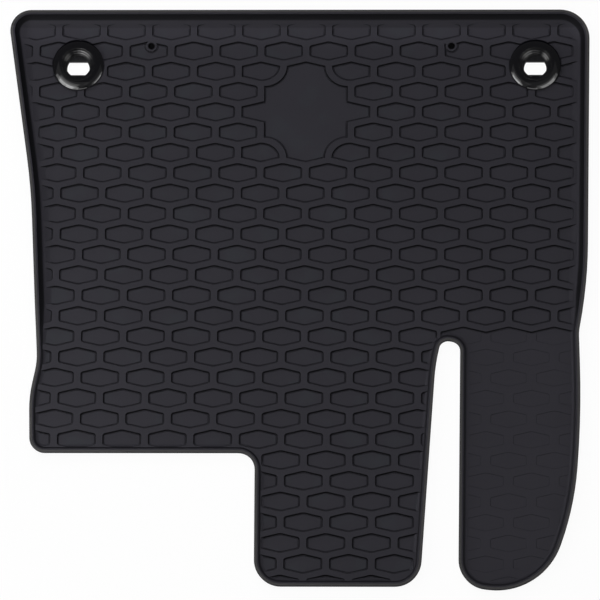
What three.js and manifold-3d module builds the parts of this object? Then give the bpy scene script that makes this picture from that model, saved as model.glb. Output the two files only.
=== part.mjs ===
// Moulded rubber floor mat for the driver's side, with two clamped plastic eyelets. Millimetres, +Z up,
// seat edge at +Y, toe edge at -Y, tunnel side at -X, door side at +X, resting on the nubs at Z = 0.
import * as THREE from "three";
import { mergeGeometries, mergeVertices } from "three/addons/utils/BufferGeometryUtils.js";
import Module from "manifold-3d";

const wasm = await Module();
wasm.setup();

// Overall size across the rim
const matWidth = 589.6;
const matLength = 597.2;

// Seat edge corners, the sharp tunnel corner lying outside the widest point
const tunnelCornerReach = 3.2;
const tunnelSeatRadius = 21.4;
const doorSeatRadius = 30;

// Tunnel side: leans in below the seat corner, has a waist, then swells to a hip beside the pedals.
// The drops on both long sides run down to the toe edge.
const tunnelLean = 26.8;
const tunnelBendDrop = 412.2;
const tunnelBendRadius = 663;
const tunnelWaistInset = 35;
const tunnelWaistDrop = 233.5;
const tunnelWaistRadius = 73;
const tunnelHipInset = 27.5;
const tunnelHipDrop = 197.6;
const tunnelHipRadius = 121;

// Pedal notch in the corner of the tunnel side and the toe edge
const pedalNotchDepth = 139.8;
const pedalNotchWidth = 252.4;
const pedalNotchRadius = 17;
const pedalCornerInset = 25.4;
const pedalCornerRadius = 15.3;

// Toe leg, between the pedal notch and the footrest gap
const toeLegWidth = 166.6;
const toeLegInset = 3.6;
const toeLegRadius = 27;

// Gap between the toe leg and the footrest leg, closed by a round end
const gapLength = 256.1;
const gapFlare = 15;
const gapBendDrop = 24.3;
const gapBendRadius = 244;
const gapEndShift = 5.8;
const gapEndWidth = 19;
const gapEndLag = 3.2;
const gapEndRadius = 11.2;

// Footrest leg and the door side above it
const footLean = 1.3;
const footToeRise = 3.9;
const footToeRadius = 30;
const footWidth = 84.6;
const footHeelDip = 5.7;
const footHeelRadius = 70.5;
const footBulgeInset = 15.7;
const footBulgeRise = 85.1;
const footBulgeRadius = 316;
const doorHipInset = 8.6;
const doorHipDrop = 179;
const doorHipRadius = 1020;
const doorWaistInset = 11.2;
const doorWaistDrop = 264.8;
const doorWaistRadius = 65.5;
const doorBendInset = 2.3;
const doorBendDrop = 312;
const doorBendRadius = 609;

// Heights of the sheet, measured up from the floor
const nubHeight = 3.5;
const sheetThickness = 2.5;
const webHeight = 2;
const tallRimRise = 8.5;
const lowRimRise = 2.5;

// Rim section, measured inward from the outline
const tallOuterDraft = 1.5;
const lowOuterDraft = 0.6;
const crestRound = 1;
const tallCrestWidth = 3.4;
const lowCrestWidth = 3;
const tallWallRun = 4.2;
const lowWallRun = 2.1;
const tallCoveRun = 9.1;
const lowCoveRun = 3.3;
const tallCoveRise = 3.7;
const lowCoveRise = 1.9;
const coveMidRiseShare = 0.35;

// Where the tall rim runs down to the low one, its drop again down to the toe edge
const tunnelRimFallDrop = 299.8;
const tunnelRimFallLength = 52;
const doorRimFallDrop = 309.8;
const doorRimFallLength = 41;
const rimFallShares = [0, 0.25, 0.5, 0.75, 1];

// Hexagonal pockets between the webs
const pocketPitchX = 45.81;
const pocketPitchY = 21.16;
const pocketWidth = 39;
const pocketPointLength = 20.5;
const pocketSideLength = 11.3;
const pocketDraft = 0.9;
const centreLineShift = 6.7;
const panelDrop = 104.8;

// Faint pockets in the footrest panel
const faintWebHeight = 0.4;
const faintPocketInset = 1.8;
const faintOverlap = 3;

// Ring bosses near the seat edge
const bossRadius = 6;
const bossHoleRadius = 3.3;
const bossHoleDepth = 3.5;
const bossDrop = 36;
const tunnelBossReach = 157.6;
const doorBossReach = 147.7;

// Anti-slip nubs on the underside
const nubBase = 6.4;
const nubTip = 3.6;
const nubEdgeMargin = 11;
const nubRowStep = 3;

// Eyelets, set in from the two long sides and the seat edge
const tunnelEyeletInset = 69.5;
const doorEyeletInset = 55.4;
const eyeletSpacing = matWidth - tunnelEyeletInset - doorEyeletInset;
const eyeletDrop = 56.1;
const flangeRadius = 25.9;
const flangeEdge = 0.9;
const domeRise = 4.4;
const domeCrestRadius = 18.4;
const boreRimRadius = 15.2;
const boreRimDrop = 1.6;
const boreStepRadius = 13.6;
const boreStepDrop = 4.4;
const boreStepRound = 0.8;
const boreFootRadius = 12.1;
const barrelRadius = 16.4;
const eyeletFloorGap = 0.4;
const ledgeThickness = 3;
const slotRadius = 11.3;
const slotWidth = 13.3;
const slotShift = 2.5;
const snapLipReach = 0.8;
const snapLipHeight = 0.9;
const seatRadius = 23;

// Lock rings under the sheet
const lockRingRadius = 24;
const lockRingChamfer = 0.6;

// Fits and facets
const clearance = 0.3;
const overrun = 1;
const chordSag = 0.22;
const leastCorner = 0.5;
const roomShare = 0.98;
const roundFacets = 36;
const bossFacets = 20;
const slotFacets = 8;
const cornerFacets = 6;
const domeFacets = 4;
const lipFacets = 3;

// Levels that follow from the heights
const undersideZ = nubHeight;
const floorZ = undersideZ + sheetThickness;
const webZ = floorZ + webHeight;
const seatY = matLength / 2;
const toeY = -matLength / 2;
const tunnelX = -matWidth / 2;
const doorX = matWidth / 2;
const pedalX = tunnelX + pedalNotchWidth;
const toeLegX = pedalX + toeLegWidth;
const gapEndX = toeLegX + gapFlare + gapEndShift;
const gapEndY = toeY + gapLength;
const panelY = seatY - panelDrop;
const rootZ = (undersideZ + floorZ) / 2;

// Turns a geometry into a solid that can be joined and cut
function solid(geometry) {
  const bare = geometry.clone();
  bare.deleteAttribute("normal");
  bare.deleteAttribute("uv");
  const merged = mergeVertices(bare);
  const vertProperties = new Float32Array(merged.attributes.position.array);
  const triVerts = new Uint32Array(merged.index.array);
  return new wasm.Manifold(new wasm.Mesh({ numProp: 3, vertProperties, triVerts }));
}

// Turns a solid back into a geometry
function geometryOf(body) {
  const { numProp, vertProperties, triVerts } = body.getMesh();
  const geometry = new THREE.BufferGeometry();
  geometry.setAttribute("position", new THREE.BufferAttribute(vertProperties, numProp));
  geometry.setIndex(new THREE.BufferAttribute(triVerts, 1));
  geometry.computeVertexNormals();
  return geometry;
}

// Closed skin through rings of points, lowest ring first, each ring counter-clockwise from above
function loft(rings) {
  const count = rings[0].length;
  const last = (rings.length - 1) * count;
  const faces = [];
  for (let row = 0; row < last; row += count) {
    for (let i = 0; i < count; i += 1) {
      const next = (i + 1) % count;
      faces.push(row + i, row + next, row + count + next);
      faces.push(row + i, row + count + next, row + count + i);
    }
  }
  for (const [a, b, c] of THREE.ShapeUtils.triangulateShape(rings[0].slice(), [])) {
    faces.push(a, c, b);
  }
  for (const [a, b, c] of THREE.ShapeUtils.triangulateShape(rings.at(-1).slice(), [])) {
    faces.push(last + a, last + b, last + c);
  }
  const geometry = new THREE.BufferGeometry();
  const positions = rings.flat().flatMap((point) => point.toArray());
  geometry.setAttribute("position", new THREE.Float32BufferAttribute(positions, 3));
  geometry.setIndex(faces);
  return geometry;
}

// The points of a flat outline at one height
function ringAt(points, z) {
  return points.map((point) => new THREE.Vector3(point.x, point.y, z));
}

// A straight prism over an outline
function prism(points, bottomZ, topZ) {
  return loft([ringAt(points, bottomZ), ringAt(points, topZ)]);
}

// An upright cylinder
function drum(radius, bottomZ, topZ, facets, x, y) {
  const geometry = new THREE.CylinderGeometry(radius, radius, topZ - bottomZ, facets);
  geometry.rotateX(Math.PI / 2);
  geometry.translate(x, y, (bottomZ + topZ) / 2);
  return geometry;
}

// Corners of the mat's outline with their radii, counter-clockwise from the tunnel seat corner
function outlineCorners() {
  const leanX = tunnelX - tunnelCornerReach;
  const pedalY = toeY + pedalNotchDepth;
  const toeLegY = toeY + toeLegInset;
  const gapDoorX = gapEndX + gapEndWidth;
  const footX = gapDoorX - footLean;
  return [
    [leanX, seatY, tunnelSeatRadius],
    [leanX + tunnelLean, toeY + tunnelBendDrop, tunnelBendRadius],
    [leanX + tunnelWaistInset, toeY + tunnelWaistDrop, tunnelWaistRadius],
    [leanX + tunnelHipInset, toeY + tunnelHipDrop, tunnelHipRadius],
    [tunnelX + pedalCornerInset, pedalY, pedalCornerRadius],
    [pedalX, pedalY, pedalNotchRadius],
    [pedalX, toeLegY, toeLegRadius],
    [toeLegX, toeLegY, toeLegRadius],
    [gapEndX - gapEndShift, gapEndY - gapBendDrop, gapBendRadius],
    [gapEndX, gapEndY, gapEndRadius],
    [gapDoorX, gapEndY - gapEndLag, gapEndRadius],
    [footX, toeY + footToeRise, footToeRadius],
    [footX + footWidth, toeY - footHeelDip, footHeelRadius],
    [doorX - footBulgeInset, toeY + footBulgeRise, footBulgeRadius],
    [doorX - doorHipInset, toeY + doorHipDrop, doorHipRadius],
    [doorX - doorWaistInset, toeY + doorWaistDrop, doorWaistRadius],
    [doorX - doorBendInset, toeY + doorBendDrop, doorBendRadius],
    [doorX, seatY, doorSeatRadius],
  ];
}

// How far the round of each corner reaches along its sides, drawn in where two rounds would meet
function cornerReaches(corners) {
  const points = corners.map(([x, y]) => new THREE.Vector2(x, y));
  const lengths = points.map((point, i) => point.distanceTo(points[(i + 1) % points.length]));
  const wanted = points.map((point, i) => {
    const back = points.at(i - 1).clone().sub(point);
    const ahead = points[(i + 1) % points.length].clone().sub(point);
    return corners[i][2] / Math.tan(back.angleTo(ahead) / 2);
  });
  return wanted.map((reach, i) => {
    const behind = lengths.at(i - 1) / (reach + wanted.at(i - 1));
    const before = lengths[i] / (reach + wanted[(i + 1) % wanted.length]);
    return reach * Math.min(1, behind * roomShare, before * roomShare);
  });
}

// Stations along the round of one corner: a point, the way out there, and the room for an inset
function cornerStations(corner, previous, following, reach) {
  const back = previous.clone().sub(corner).normalize();
  const ahead = following.clone().sub(corner).normalize();
  const wayIn = back.angle() + Math.PI / 2;
  const half = back.angleTo(ahead) / 2;
  const bend = reach * Math.tan(half);
  const convex = ahead.cross(back) > 0;
  const centre = back.clone().add(ahead).setLength(bend / Math.sin(half)).add(corner);
  const turn = (convex ? 1 : -1) * (Math.PI - 2 * half);
  const steps = Math.max(1, Math.ceil(Math.abs(turn) / (2 * Math.acos(1 - chordSag / bend))));
  return Array.from({ length: steps + 1 }, (_, step) => {
    const angle = wayIn + (turn * step) / steps;
    const out = new THREE.Vector2(Math.cos(angle), Math.sin(angle));
    const point = centre.clone().addScaledVector(out, convex ? bend : -bend);
    return { point, out, room: convex ? bend - leastCorner : Infinity };
  });
}

// Extra stations where straight runs pass the levels at which the tall rim falls
function splitAtLevels(stations, levels) {
  return stations.flatMap((station, i) => {
    const end = stations[(i + 1) % stations.length];
    const rise = end.point.y - station.point.y;
    const crossed = levels
      .map((level) => (level - station.point.y) / rise)
      .filter((along) => along > 0 && along < 1)
      .sort((a, b) => a - b);
    const added = crossed.map((along) => ({
      point: station.point.clone().lerp(end.point, along),
      out: station.out.clone().lerp(end.out, along).normalize(),
      room: Math.min(station.room, end.room),
    }));
    return [station, ...added];
  });
}

// The whole outline as stations
function outlineStations() {
  const corners = outlineCorners();
  const reaches = cornerReaches(corners);
  const points = corners.map(([x, y]) => new THREE.Vector2(x, y));
  const rounds = points.flatMap((point, i) =>
    cornerStations(point, points.at(i - 1), points[(i + 1) % points.length], reaches[i]),
  );
  const levels = rimFallShares.flatMap((share) => [
    toeY + tunnelRimFallDrop - share * tunnelRimFallLength,
    toeY + doorRimFallDrop - share * doorRimFallLength,
  ]);
  return splitAtLevels(rounds, levels);
}

const stations = outlineStations();

// A ring parallel to the outline; the inset and the height may differ from station to station
function insetRing(insetAt, heightAt) {
  return stations.map((station) => {
    const inset = Math.min(insetAt(station), station.room);
    const { x, y } = station.point.clone().addScaledVector(station.out, -inset);
    return new THREE.Vector3(x, y, heightAt(station));
  });
}

// 1 where the rim is tall, 0 where it is low
function tallness({ point }) {
  const fallsAtTunnel = point.x < 0;
  const top = toeY + (fallsAtTunnel ? tunnelRimFallDrop : doorRimFallDrop);
  const length = fallsAtTunnel ? tunnelRimFallLength : doorRimFallLength;
  return THREE.MathUtils.smoothstep(point.y, top - length, top);
}

// The tray: a flat sheet with its rim, crest and cove
function tray() {
  const blend = (low, tall) => (station) => THREE.MathUtils.lerp(low, tall, tallness(station));
  const lowWallInset = crestRound + lowCrestWidth + lowWallRun;
  const tallWallInset = crestRound + tallCrestWidth + tallWallRun;
  const lowCrestZ = webZ + lowRimRise;
  const tallCrestZ = webZ + tallRimRise;
  const section = [
    [blend(lowOuterDraft, tallOuterDraft), () => undersideZ],
    [() => 0, blend(lowCrestZ - crestRound, tallCrestZ - crestRound)],
    [() => crestRound, blend(lowCrestZ, tallCrestZ)],
    [blend(crestRound + lowCrestWidth, crestRound + tallCrestWidth), blend(lowCrestZ, tallCrestZ)],
    [blend(lowWallInset, tallWallInset), blend(floorZ + lowCoveRise, floorZ + tallCoveRise)],
    [
      blend(lowWallInset + lowCoveRun / 2, tallWallInset + tallCoveRun / 2),
      blend(floorZ + coveMidRiseShare * lowCoveRise, floorZ + coveMidRiseShare * tallCoveRise),
    ],
    [blend(lowWallInset + lowCoveRun, tallWallInset + tallCoveRun), () => floorZ],
  ];
  return solid(loft(section.map(([insetAt, heightAt]) => insetRing(insetAt, heightAt))));
}

// Distance from a point to the outline, negative outside it
function depthInside(point) {
  let inside = false;
  let distance = Infinity;
  stations.forEach(({ point: start }, i) => {
    const end = stations[(i + 1) % stations.length].point;
    const run = end.clone().sub(start);
    const offset = point.clone().sub(start);
    const along = THREE.MathUtils.clamp(offset.dot(run) / run.lengthSq(), 0, 1);
    distance = Math.min(distance, offset.distanceTo(run.clone().multiplyScalar(along)));
    if (start.y > point.y !== end.y > point.y && offset.x < (run.x * offset.y) / run.y) {
      inside = !inside;
    }
  });
  return inside ? distance : -distance;
}

// Places of the pocket pattern as columns of half a pitch and rows, counted from the bare panel
function patternPlaces() {
  const columns = Math.ceil(matWidth / pocketPitchX) + 1;
  const rows = Math.ceil(matLength / pocketPitchY);
  const places = [];
  for (let row = -rows; row <= rows; row += 1) {
    for (let column = -columns; column <= columns; column += 1) {
      const x = centreLineShift + (column * pocketPitchX) / 2;
      const y = panelY + row * pocketPitchY;
      if ((column + row) % 2 === 0 && Math.abs(y) < seatY + pocketPointLength) {
        places.push({ column, row, centre: new THREE.Vector2(x, y) });
      }
    }
  }
  return places;
}

const places = patternPlaces();

// Half width, point and side of a pocket whose six walls are all drawn in by an inset
function pocketHalves(inset) {
  const slope = (pocketPointLength - pocketSideLength) / pocketWidth;
  const width = pocketWidth / 2 - inset;
  const point = pocketPointLength / 2 - inset * Math.hypot(1, slope);
  return { width, point, side: point - width * slope };
}

// The hexagon of one pocket round its centre
function hexagon(inset) {
  const { width, point, side } = pocketHalves(inset);
  return [
    new THREE.Vector2(width, -side),
    new THREE.Vector2(width, side),
    new THREE.Vector2(0, point),
    new THREE.Vector2(-width, side),
    new THREE.Vector2(-width, -side),
    new THREE.Vector2(0, -point),
  ];
}

// The pocket beside the bare panel, its corner towards the panel rounded off
function cutHexagon(inset, sideX, sideY) {
  const { width, point, side } = pocketHalves(inset);
  const arc = new THREE.EllipseCurve(0, side, width, point + side, Math.PI, 1.5 * Math.PI);
  const points = [
    ...arc.getPoints(cornerFacets),
    new THREE.Vector2(width, -side),
    new THREE.Vector2(width, side),
    new THREE.Vector2(0, point),
  ].map(({ x, y }) => new THREE.Vector2(x * sideX, y * sideY));
  return sideX * sideY > 0 ? points : points.reverse();
}

// True for a pocket that comes out from under the rim
function clearsRim({ centre }) {
  const rim = crestRound + tallCrestWidth + tallWallRun;
  return hexagon(0).some((corner) => depthInside(corner.add(centre)) > rim);
}

// A cutter with drafted walls from the middle of the sheet to above the webs
function draftedCutter(outlineAt, centre) {
  const slope = pocketDraft / webHeight;
  const ring = (z) => ringAt(outlineAt(slope * (webZ - z)), z);
  return loft([ring(rootZ - overrun), ring(webZ + overrun)]).translate(centre.x, centre.y, 0);
}

// Outline of the bare panel round its centre: nine pockets in a diamond, run together
function panelOutline(inset) {
  const width = pocketWidth / 2;
  const point = pocketPointLength / 2;
  const side = pocketSideLength / 2;
  const shoulderX = pocketPitchX / 2 + width;
  const lobeSlope = (point - side) / width;
  const waistY = point + (pocketPitchX - shoulderX) * lobeSlope;
  const arc = new THREE.EllipseCurve(
    shoulderX,
    2 * pocketPitchY + side,
    pocketPitchX / 2 + inset,
    pocketPitchY + inset,
    1.5 * Math.PI,
    Math.PI,
    true,
  );
  const corner = [
    new THREE.Vector2(pocketPitchX + width - inset, side - inset * lobeSlope),
    new THREE.Vector2(shoulderX - inset, waistY - inset),
    ...arc.getPoints(cornerFacets).map(({ x, y }) => new THREE.Vector2(Math.min(x, shoulderX - inset), y)),
  ];
  const tip = new THREE.Vector2(0, 2 * pocketPitchY + point - inset);
  const mirrored = (points, x, y) => points.map((p) => new THREE.Vector2(p.x * x, p.y * y));
  return [
    ...corner,
    tip,
    ...mirrored(corner, -1, 1).reverse(),
    ...mirrored(corner, -1, -1),
    ...mirrored([tip], 1, -1),
    ...mirrored(corner, 1, -1).reverse(),
  ];
}

// First row of the footrest panel, level with the gap's end, and the column of its first valley
function footrestStart() {
  const middle = gapEndX + gapEndWidth / 2;
  const row = Math.round((gapEndY - panelY) / pocketPitchY);
  const column = Math.floor((middle - centreLineShift) / (pocketPitchX / 2));
  return { row, column: (column + row) % 2 === 0 ? column - 1 : column, middle };
}

// Outline of the footrest panel, its seat side a zigzag along the pockets of its first row
function footrestOutline(lift) {
  const { row, column } = footrestStart();
  const slope = (pocketPointLength - pocketSideLength) / pocketWidth;
  const peakY = panelY + row * pocketPitchY + pocketPointLength / 2 + lift;
  const valleyY = peakY - (pocketPitchX / 2) * slope;
  const columns = Math.ceil(matWidth / pocketPitchX) - column + 1;
  const zigzag = Array.from({ length: columns }, (_, i) => {
    const x = centreLineShift + ((column + i) * pocketPitchX) / 2;
    return new THREE.Vector2(x, i % 2 === 0 ? valleyY : peakY);
  });
  const below = toeY - pocketPointLength;
  const first = new THREE.Vector2(zigzag[0].x, below);
  const last = new THREE.Vector2(zigzag.at(-1).x, below);
  return [first, last, ...zigzag.reverse()];
}

// True for a pocket that belongs to the footrest panel
function inFootrest({ row, centre }) {
  const { row: firstRow, middle } = footrestStart();
  return row <= firstRow && centre.x > middle;
}

// A flat slab over the mat, its edge hidden in the rim
function slab(topZ) {
  const inset = () => crestRound + lowCrestWidth / 2;
  return solid(loft([insetRing(inset, () => rootZ), insetRing(inset, () => topZ)]));
}

// The webs that stand between the pockets, with the bare panel and the footrest panel left out
function webs() {
  const diamond = ({ column, row }) => Math.abs(column) + Math.abs(row);
  const outside = places.filter((place) => diamond(place) > 2 && !inFootrest(place));
  const cutters = outside.filter(clearsRim).map(({ column, row, centre }) => {
    const besidePanel = Math.abs(column) === 2 && Math.abs(row) === 2;
    return draftedCutter(
      besidePanel ? (inset) => cutHexagon(inset, column / 2, row / 2) : hexagon,
      centre,
    );
  });
  const panel = draftedCutter(panelOutline, new THREE.Vector2(centreLineShift, panelY));
  const footrest = prism(footrestOutline(0), rootZ - overrun, webZ + overrun);
  return slab(webZ)
    .subtract(solid(mergeGeometries([...cutters, panel])))
    .subtract(solid(footrest));
}

// The faint webs of the footrest panel
function faintWebs() {
  const faint = places.filter((place) => inFootrest(place) && clearsRim(place));
  const cutters = faint.map(({ centre }) => draftedCutter(() => hexagon(faintPocketInset), centre));
  const panel = prism(footrestOutline(faintOverlap), rootZ - overrun, webZ);
  return slab(floorZ + faintWebHeight).intersect(solid(panel)).subtract(solid(mergeGeometries(cutters)));
}

// Places of the two eyelets
const eyeletPlaces = {
  left: new THREE.Vector2(tunnelX + tunnelEyeletInset, seatY - eyeletDrop),
  right: new THREE.Vector2(tunnelX + tunnelEyeletInset + eyeletSpacing, seatY - eyeletDrop),
};

// Places of the two ring bosses
const bossPlaces = [
  new THREE.Vector2(centreLineShift - tunnelBossReach, seatY - bossDrop),
  new THREE.Vector2(centreLineShift + doorBossReach, seatY - bossDrop),
];

// Four-sided nubs under the pockets, away from the edge and the lock rings
function nubs() {
  const square = (width) => {
    const half = width / 2;
    const signs = [[1, -1], [1, 1], [-1, 1], [-1, -1]];
    return signs.map(([x, y]) => new THREE.Vector2(x * half, y * half));
  };
  const rootWidth = nubTip + ((nubBase - nubTip) * rootZ) / undersideZ;
  const keepOff = lockRingRadius + nubBase;
  const eyelets = Object.values(eyeletPlaces);
  const clear = (centre) => eyelets.every((place) => place.distanceTo(centre) > keepOff);
  const spaced = places.filter(({ row }) => row % nubRowStep === 0);
  const kept = spaced.filter(({ centre }) => clear(centre) && depthInside(centre) > nubEdgeMargin);
  return kept.map(({ centre }) => {
    const ring = (width, z) => ringAt(square(width), z);
    return loft([ring(nubTip, 0), ring(rootWidth, rootZ)]).translate(centre.x, centre.y, 0);
  });
}

// The whole rubber moulding
function matBody() {
  const eyelets = Object.values(eyeletPlaces);
  const seats = eyelets.map(({ x, y }) => drum(seatRadius, rootZ, webZ, roundFacets, x, y));
  const bores = eyelets.map(({ x, y }) =>
    drum(barrelRadius + clearance, -overrun, webZ + overrun, roundFacets, x, y),
  );
  const bosses = bossPlaces.map(({ x, y }) => drum(bossRadius, rootZ, webZ, bossFacets, x, y));
  const holes = bossPlaces.map(({ x, y }) =>
    drum(bossHoleRadius, webZ - bossHoleDepth, webZ + overrun, bossFacets, x, y),
  );
  return tray()
    .add(webs())
    .add(faintWebs())
    .add(solid(mergeGeometries([...seats, ...bosses])))
    .add(solid(mergeGeometries(nubs())))
    .subtract(solid(mergeGeometries([...bores, ...holes])));
}

// A turned solid round the upright axis through a place
function turned(profile, { x, y }) {
  const points = profile.map(([radius, z]) => new THREE.Vector2(radius, z));
  const geometry = new THREE.LatheGeometry(points, roundFacets);
  geometry.rotateX(Math.PI / 2);
  geometry.translate(x, y, 0);
  return geometry;
}

// Points placed at even steps through a quarter turn
function quarter(facets, place) {
  return Array.from({ length: facets + 1 }, (_, i) => place((i / facets) * (Math.PI / 2)));
}

// An eyelet: domed flange on the mat, stepped bore, slotted floor, and a barrel with its snap lip
function eyelet(place) {
  const edgeZ = webZ + flangeEdge;
  const crestZ = webZ + domeRise;
  const footZ = eyeletFloorGap;
  const lipZ = footZ + snapLipHeight;
  const ledgeZ = footZ + ledgeThickness;
  const dome = quarter(domeFacets, (angle) => [
    domeCrestRadius + (flangeRadius - domeCrestRadius) * Math.cos(angle),
    edgeZ + (crestZ - edgeZ) * Math.sin(angle),
  ]);
  const rim = quarter(lipFacets, (angle) => [
    domeCrestRadius - (domeCrestRadius - boreRimRadius) * Math.sin(angle),
    crestZ - boreRimDrop * (1 - Math.cos(angle)),
  ]);
  const profile = [
    [0, footZ],
    [barrelRadius, footZ],
    [barrelRadius + snapLipReach, lipZ],
    [barrelRadius, lipZ],
    [barrelRadius, webZ],
    [flangeRadius, webZ],
    ...dome,
    ...rim.slice(1),
    [boreStepRadius, crestZ - boreStepDrop],
    [boreFootRadius, crestZ - boreStepDrop - boreStepRound],
    [boreFootRadius, ledgeZ],
    [0, ledgeZ],
  ];
  const reach = Math.asin(slotWidth / 2 / slotRadius);
  const end = (turn) =>
    new THREE.EllipseCurve(0, 0, slotRadius, slotRadius, turn - reach, turn + reach).getPoints(slotFacets);
  const slot = prism([...end(0), ...end(Math.PI)], footZ - overrun, ledgeZ + overrun);
  slot.translate(place.x, place.y - slotShift, 0);
  return solid(turned(profile, place)).subtract(solid(slot));
}

// A lock ring, trapped between the sheet and the snap lip
function lockRing(place) {
  const bottomZ = eyeletFloorGap + snapLipHeight + clearance;
  const bore = barrelRadius + clearance;
  return solid(
    turned(
      [
        [bore, bottomZ],
        [lockRingRadius - lockRingChamfer, bottomZ],
        [lockRingRadius, bottomZ + lockRingChamfer],
        [lockRingRadius, undersideZ],
        [bore, undersideZ],
        [bore, bottomZ],
      ],
      place,
    ),
  );
}

const rubber = { color: "#2c2b30", roughness: 0.78, metalness: 0 };
const glossPlastic = { color: "#0c0c0e", roughness: 0.16, metalness: 0 };
const dullPlastic = { color: "#141417", roughness: 0.5, metalness: 0 };

const assembly = new THREE.Group();

// Adds one named piece to the assembly
function addPiece(name, body, finish) {
  const mesh = new THREE.Mesh(geometryOf(body), new THREE.MeshStandardMaterial(finish));
  mesh.name = name;
  assembly.add(mesh);
}

addPiece("mat_body", matBody(), rubber);
for (const [side, place] of Object.entries(eyeletPlaces)) {
  addPiece(`eyelet_${side}`, eyelet(place), glossPlastic);
  addPiece(`lock_ring_${side}`, lockRing(place), dullPlastic);
}

export default assembly;
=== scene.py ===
"""Looks of a moulded rubber floor mat with two clamped eyelets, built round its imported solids."""

import logging
import math
from dataclasses import dataclass, field
from enum import Enum
from typing import Any, Callable, Iterable, Sequence

import bmesh
import bpy
from mathutils import Matrix, Vector


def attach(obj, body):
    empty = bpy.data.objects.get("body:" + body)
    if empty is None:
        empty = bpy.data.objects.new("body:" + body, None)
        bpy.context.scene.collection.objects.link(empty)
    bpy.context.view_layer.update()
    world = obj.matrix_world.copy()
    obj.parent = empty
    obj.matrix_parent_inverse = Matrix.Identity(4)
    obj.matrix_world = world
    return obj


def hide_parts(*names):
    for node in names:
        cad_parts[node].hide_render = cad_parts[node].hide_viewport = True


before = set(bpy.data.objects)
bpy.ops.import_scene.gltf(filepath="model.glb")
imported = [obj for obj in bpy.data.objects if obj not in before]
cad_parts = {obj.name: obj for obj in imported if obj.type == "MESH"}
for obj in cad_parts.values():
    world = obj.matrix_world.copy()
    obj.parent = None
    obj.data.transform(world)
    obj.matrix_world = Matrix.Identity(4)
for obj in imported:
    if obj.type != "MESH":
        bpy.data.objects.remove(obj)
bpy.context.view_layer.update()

log = logging.getLogger("floor_mat")

MM = 0.001
UP = Vector((0, 0, 1))
# Limits that keep a merge, a mitre or a division sound
MERGE_REACH = 0.001 * MM
LEAST_EDGE = 0.0005 * MM
LEAST_LEAN = 0.2
LEAST_RISE = 1e-9
LEAST_SQUARE = 1e-12

Pair = tuple[float, float]
Place = tuple[float, float, float]
Colour = tuple[float, float, float]
Station = tuple[Vector, Vector, float]


class Join(Enum):
    """How one solid changes another."""

    ADD = "UNION"
    CUT = "DIFFERENCE"


class Shine(Enum):
    """What a softbox gives: light on matt surfaces, or its image in polished ones."""

    LIGHT = "light"
    IMAGE = "image"


class Side(Enum):
    """The two sides of the mat, seen from above with the seat edge up."""

    LEFT = "left"
    RIGHT = "right"


def pick(piece: bpy.types.Object) -> None:
    """Makes one object the only selected one and the active one.

    Args:
        piece: The object.
    """
    bpy.ops.object.select_all(action="DESELECT")
    piece.select_set(True)
    bpy.context.view_layer.objects.active = piece


def lay_ring(name: str, ring: Sequence[Place], filled: bool) -> bpy.types.Object:
    """Adds a circle and moves its vertices onto a ring of places.

    Args:
        name: Name of the new object.
        ring: Places in millimetres, in order round the ring.
        filled: Whether one face closes the ring.

    Returns:
        The new object.
    """
    bpy.ops.object.select_all(action="DESELECT")
    fill = "NGON" if filled else "NOTHING"
    bpy.ops.mesh.primitive_circle_add(vertices=len(ring), fill_type=fill)
    piece = bpy.context.object
    piece.name = name
    for vertex, place in zip(piece.data.vertices, ring):
        vertex.co = Vector(place) * MM
    return piece


def close_up(piece: bpy.types.Object) -> None:
    """Merges doubled vertices and turns every face outwards.

    Args:
        piece: The object.
    """
    pick(piece)
    bpy.ops.object.mode_set(mode="EDIT")
    bpy.ops.mesh.select_all(action="SELECT")
    bpy.ops.mesh.remove_doubles(threshold=MERGE_REACH)
    bpy.ops.mesh.dissolve_degenerate(threshold=LEAST_EDGE)
    bpy.ops.mesh.select_all(action="SELECT")
    bpy.ops.mesh.normals_make_consistent(inside=False)
    bpy.ops.object.mode_set(mode="OBJECT")


def loft(name: str, rings: Sequence[Sequence[Place]], looped: bool = False) -> bpy.types.Object:
    """Extrudes a ring again and again, and moves each new ring to its own places.

    Args:
        name: Name of the new object.
        rings: Rings with the same number of places, lowest first.
        looped: Whether the last ring runs on to the first, as in a hoop, and no face closes the ends.

    Returns:
        The new object, closed, with its faces outwards.
    """
    piece = lay_ring(name, rings[0], filled=not looped)
    pick(piece)
    bpy.ops.object.mode_set(mode="EDIT")
    bpy.ops.mesh.select_mode(type="VERT")
    bpy.ops.mesh.select_all(action="SELECT")
    mesh = bmesh.from_edit_mesh(piece.data)
    station = mesh.verts.layers.int.new("station")
    for index, vertex in enumerate(mesh.verts):
        vertex[station] = index
    following = [*rings[1:], rings[0]] if looped else rings[1:]
    for ring in following:
        bpy.ops.mesh.extrude_region_move()
        mesh = bmesh.from_edit_mesh(piece.data)
        station = mesh.verts.layers.int["station"]
        for vertex in mesh.verts:
            if vertex.select:
                vertex.co = Vector(ring[vertex[station]]) * MM
        bmesh.update_edit_mesh(piece.data)
    bpy.ops.object.mode_set(mode="OBJECT")
    piece.data.attributes.remove(piece.data.attributes["station"])
    close_up(piece)
    return piece


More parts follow.
